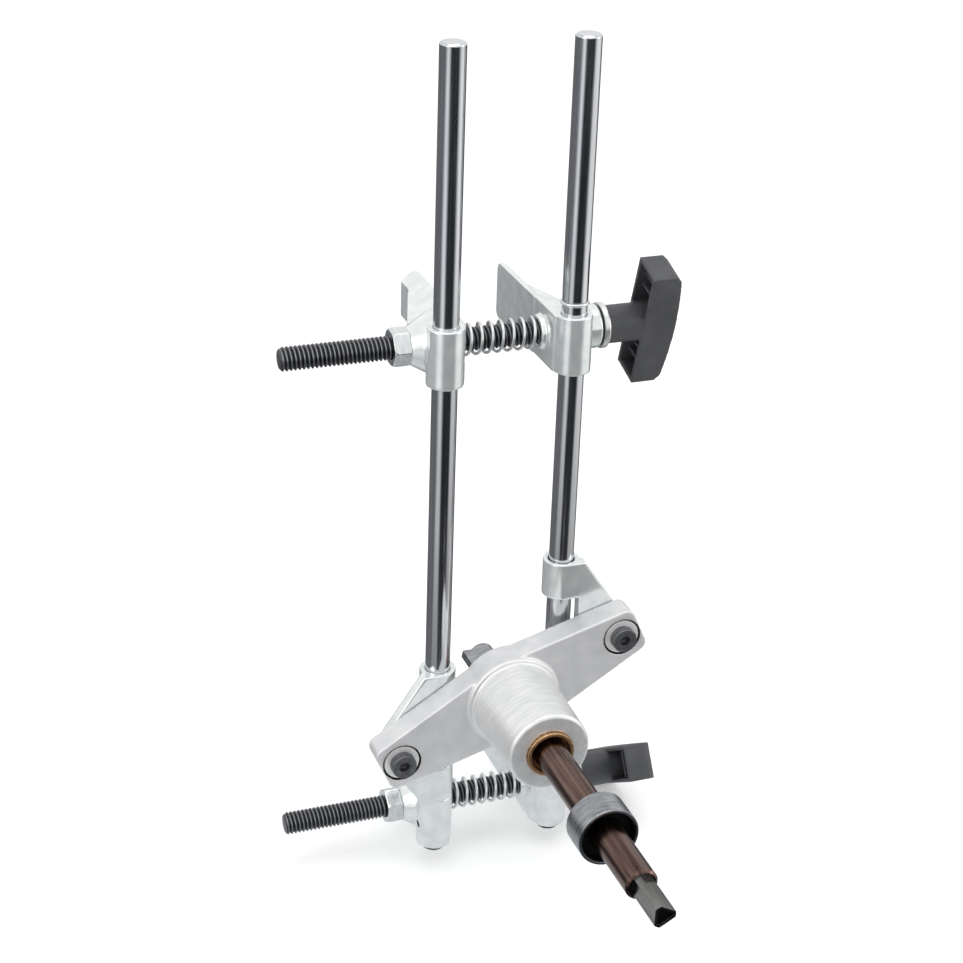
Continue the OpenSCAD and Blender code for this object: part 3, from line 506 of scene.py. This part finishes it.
for end in ("lower", "upper"):
    nut, thrust, fibre = end + "_clamp_nut", end + "_thrust_washer", end + "_fibre_washer"
    rigid(nut + "_plated", soft_mesh(nut, NUT_VOXEL, passes=5), nut, formed_zinc)
    rigid(thrust + "_plated", eased_mesh(thrust, 0.7 * MM), thrust, bright_zinc)
    # The fibre washer is painted almost black, as the shade in the gap beside the thrust washer
    rigid(fibre + "_painted_gap_shade", eased_mesh(fibre, 0.2 * MM), fibre, gap_shade_black)
for side in ("left", "right"):
    pivot, washer, grubs = side + "_pivot_screw", side + "_pivot_washer", side + "_grub_screws"
    rigid(pivot + "_phosphated", eased_mesh(pivot, 0.6 * MM), pivot, phosphated_steel)
    rigid(washer + "_plated", eased_mesh(washer, 0.25 * MM), washer, tumbled_zinc)
    rigid(grubs + "_blacked", eased_mesh(grubs, 0.25 * MM), grubs, black_oxide_and_painted_shade)
rigid("rod_snap_ring_sprung", eased_mesh("rod_snap_ring", 0.2 * MM), "rod_snap_ring", bright_zinc)

# Spindle bushes: the recess inside the front one's lip is painted dark as shade

front_bush = rigid("front_spindle_bush_turned", eased_mesh("front_spindle_bush", 0.4 * MM),
                   "front_spindle_bush", bearing_bronze, recess_shade_bronze)
rigid("rear_spindle_bush_turned", eased_mesh("rear_spindle_bush", 0.5 * MM), "rear_spindle_bush",
      bearing_bronze)
bush_low, bush_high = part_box("front_spindle_bush")
LIP = 1.5 * MM
recess_reach = (bush_high.x - bush_low.x) / 2 - LIP
for face in front_bush.data.polygons:
    if face.center.y > bush_low.y + EDGE and from_line(face.center, spindle_axis) < recess_reach:
        face.material_index = 1

# Spindle: browned along its round body, plain on the drive shank, and painted dark in the shank's pocket as
# shade

SHANK_LENGTH = 23 * MM
POCKET_DEPTH = 3 * MM
POCKET_REACH = 4.6 * MM
spindle_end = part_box("spindle")[0].y
shaft = rigid("spindle_ground", eased_mesh("spindle", 0.4 * MM), "spindle",
              browned_steel, milled_steel, black_oxide_and_painted_shade)
for face in shaft.data.polygons:
    depth = face.center.y - spindle_end
    if EDGE / 2 < depth < POCKET_DEPTH + EDGE and from_line(face.center, spindle_axis) < POCKET_REACH:
        face.material_index = 2
    elif depth < SHANK_LENGTH:
        face.material_index = 1

# Depth collar with its seal, and the cutter

collar = rigid("depth_collar_turned", eased_mesh("depth_collar", 0.5 * MM), "depth_collar",
               turned_steel, black_oxide_and_painted_shade)
collar_low, collar_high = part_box("depth_collar")
COLLAR_RIM = 1.6 * MM
collar_inside = (collar_high.x - collar_low.x) / 2 - COLLAR_RIM + EDGE / 2
# The inside of the collar, about the seal, is painted black as shade
for face in collar.data.polygons:
    if face.center.y > collar_low.y + EDGE / 2 and from_line(face.center, spindle_axis) < collar_inside:
        face.material_index = 1
rigid("collar_seal_moulded", eased_mesh("collar_seal", 0.4 * MM), "collar_seal", nitrile_rubber)
rigid("cutter_body_milled", eased_mesh("cutter_body", 0.3 * MM), "cutter_body", turned_steel)
rigid("cutter_tips_ground", eased_mesh("cutter_tips", 0.1 * MM), "cutter_tips", ground_carbide)

# Camera, as the photograph was taken

AZIMUTH = math.radians(20.823)
ELEVATION = math.radians(25.982)
ROLL = math.radians(1.964)
CAMERA_AT = (-0.3689, -0.90703, 0.65368)
to_camera = Vector((-math.sin(AZIMUTH), -math.cos(AZIMUTH)))
forward = Vector((math.sin(AZIMUTH) * math.cos(ELEVATION), math.cos(AZIMUTH) * math.cos(ELEVATION),
                  -math.sin(ELEVATION)))
level_right = Vector((math.cos(AZIMUTH), -math.sin(AZIMUTH), 0))
right = math.cos(ROLL) * level_right + math.sin(ROLL) * level_right.cross(forward)
up = right.cross(forward)
camera_data = bpy.data.cameras.new("camera")
camera_data.sensor_width = 36
camera_data.lens = 79.23
camera = bpy.data.objects.new("camera", camera_data)
camera.matrix_world = Matrix((
    (right.x, up.x, -forward.x, CAMERA_AT[0]),
    (right.y, up.y, -forward.y, CAMERA_AT[1]),
    (right.z, up.z, -forward.z, CAMERA_AT[2]),
    (0, 0, 0, 1)))
scene.collection.objects.link(camera)
scene.camera = camera

# Floor and cards

FLOOR_HALF = 12
CORNERS = ((-1, -1), (1, -1), (1, 1), (-1, 1))


def sheet(name, height):
    """Level sheet under the object, which is no part of it, with an empty material."""
    mesh = bpy.data.meshes.new(name)
    mesh.from_pydata([(x * FLOOR_HALF, y * FLOOR_HALF, height) for x, y in CORNERS], [], [(0, 1, 2, 3)])
    made = bpy.data.objects.new(name, mesh)
    scene.collection.objects.link(made)
    made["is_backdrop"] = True
    finish = bpy.data.materials.new(name)
    finish.use_nodes = True
    finish.node_tree.nodes.clear()
    mesh.materials.append(finish)
    return made, finish.node_tree


def seen_ray(tree):
    """1 for a ray from the camera, a reflection or a clear body, and 0 for other rays."""
    rays = add(tree, "ShaderNodeLightPath", {}).outputs
    mirrored = add(tree, "ShaderNodeMath", {"operation": "MAXIMUM", 0: rays["Is Glossy Ray"],
                                            1: rays["Is Transmission Ray"]})
    return add(tree, "ShaderNodeMath", {"operation": "MAXIMUM", 0: rays["Is Camera Ray"], 1: mirrored})


# White paper: it lights itself a little where it is seen, and more so where it lies far from the lamps
PAPER_NEAR, PAPER_FAR = 0.7, 2.0
GLOW_NEAR, GLOW_FAR = 0.26, 0.42
_, paper = sheet("white_paper", cad_low.z)
from_jig = add(paper, "ShaderNodeVectorMath", {
    "operation": "LENGTH", 0: add(paper, "ShaderNodeTexCoord", {}).outputs["Object"]}).outputs["Value"]
self_light = add(paper, "ShaderNodeMapRange", {"Value": from_jig, "From Min": PAPER_NEAR,
                                               "From Max": PAPER_FAR, "To Min": GLOW_NEAR,
                                               "To Max": GLOW_FAR})
glow = add(paper, "ShaderNodeMath", {"operation": "MULTIPLY", 0: seen_ray(paper), 1: self_light})
paper_shader = add(paper, "ShaderNodeBsdfPrincipled", {
    "Base Color": colour("#f4f4f4"), "Roughness": 0.9, "Specular IOR Level": 0.1,
    "Emission Color": colour("#ffffff"), "Emission Strength": glow})
add(paper, "ShaderNodeOutputMaterial", {"Surface": paper_shader})

# Black, grey and white cards lie around the jig, and only reflections see them, as bands along the rods.
# Each stop is a bearing in degrees, from the camera towards the right of the picture, and a shade.
CARD_STOPS = ((-180, "#727276"), (-62, "#727276"), (-40, "#f0f1f5"), (-28, "#f0f1f5"), (-10, "#2c2e31"),
              (52, "#2c2e31"), (78, "#ffffff"), (116, "#ffffff"), (138, "#4a4c4f"), (180, "#4a4c4f"))
CARD_NEAR, CARD_FAR = 0.10, 0.24
FADE_NEAR, FADE_FAR = 0.26, 0.8
FADE_LEAST = 0.38
rods_between = (middle("left_guide_rod") + middle("right_guide_rod")) / 2
cards, card_tree = sheet("studio_cards", cad_low.z + 0.5 * MM)
cards.visible_camera = False
cards.visible_diffuse = False
cards.visible_transmission = False
cards.visible_shadow = False
on_card = add(card_tree, "ShaderNodeMapping", {
    "vector_type": "TEXTURE", "Vector": add(card_tree, "ShaderNodeTexCoord", {}).outputs["Object"],
    "Location": (rods_between.x, rods_between.y, cad_low.z),
    "Rotation": (0, 0, math.atan2(to_camera.y, to_camera.x))})
bearing = add(card_tree, "ShaderNodeTexGradient", {"gradient_type": "RADIAL", "Vector": on_card})
card_shade = add(card_tree, "ShaderNodeValToRGB", {"Fac": bearing.outputs["Fac"]})
stops = card_shade.color_ramp.elements
while len(stops) < len(CARD_STOPS):
    stops.new(0.5)
for stop, (degrees, shade) in zip(stops, CARD_STOPS):
    stop.position = degrees / 360 + 0.5
    stop.color = colour(shade)
out_there = add(card_tree, "ShaderNodeVectorMath", {"operation": "LENGTH", 0: on_card}).outputs["Value"]
reached = add(card_tree, "ShaderNodeMapRange", {"interpolation_type": "SMOOTHSTEP", "Value": out_there,
                                                "From Min": CARD_NEAR, "From Max": CARD_FAR})
# The white cards fade towards the jig, so that the bands lose their contrast low on the rods
fade = add(card_tree, "ShaderNodeMapRange", {"Value": out_there, "From Min": FADE_NEAR, "From Max": FADE_FAR,
                                             "To Min": FADE_LEAST, "To Max": 1.0})
faded = add(card_tree, "ShaderNodeMix", {"data_type": "RGBA", "blend_type": "DARKEN", 0: 1.0,
                                         6: card_shade.outputs["Color"], 7: fade}).outputs[2]
shown_card = add(card_tree, "ShaderNodeMix", {"data_type": "RGBA", 0: reached, 6: colour("#d6d9dc"),
                                              7: faded}).outputs[2]
card_light = add(card_tree, "ShaderNodeEmission", {"Color": shown_card, "Strength": 1.0})
add(card_tree, "ShaderNodeOutputMaterial", {"Surface": card_light})


# Light

def soft_box(name, power, size, location, aim):
    """Large soft lamp at a place, facing a point."""
    data = bpy.data.lights.new(name, "AREA")
    data.shape = "RECTANGLE"
    data.size, data.size_y = size
    data.energy = power
    lamp = bpy.data.objects.new(name, data)
    lamp.location = location
    lamp.rotation_euler = (Vector(aim) - Vector(location)).to_track_quat("-Z", "Y").to_euler()
    scene.collection.objects.link(lamp)


CENTRE = (-0.02, -0.05, 0.18)
soft_box("left_soft_box", 7, (0.9, 1.4), (-1.5, -0.7, 0.9), CENTRE)
soft_box("right_soft_box", 5, (0.7, 1.4), (1.4, -0.6, 0.8), CENTRE)
soft_box("top_soft_box", 7, (1.4, 1.0), (0.0, -0.1, 1.8), CENTRE)

# The world lights the scene less than it shows, so that the background stays white
world = bpy.data.worlds.new("studio")
scene.world = world
world.use_nodes = True
sky = world.node_tree
sky.nodes.clear()
level = add(sky, "ShaderNodeMapRange", {"Value": seen_ray(sky), "To Min": 0.75, "To Max": 1.0})
background = add(sky, "ShaderNodeBackground", {"Color": colour("#ffffff"), "Strength": level})
add(sky, "ShaderNodeOutputWorld", {"Surface": background})

scene.view_settings.view_transform = "Standard"

low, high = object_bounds()
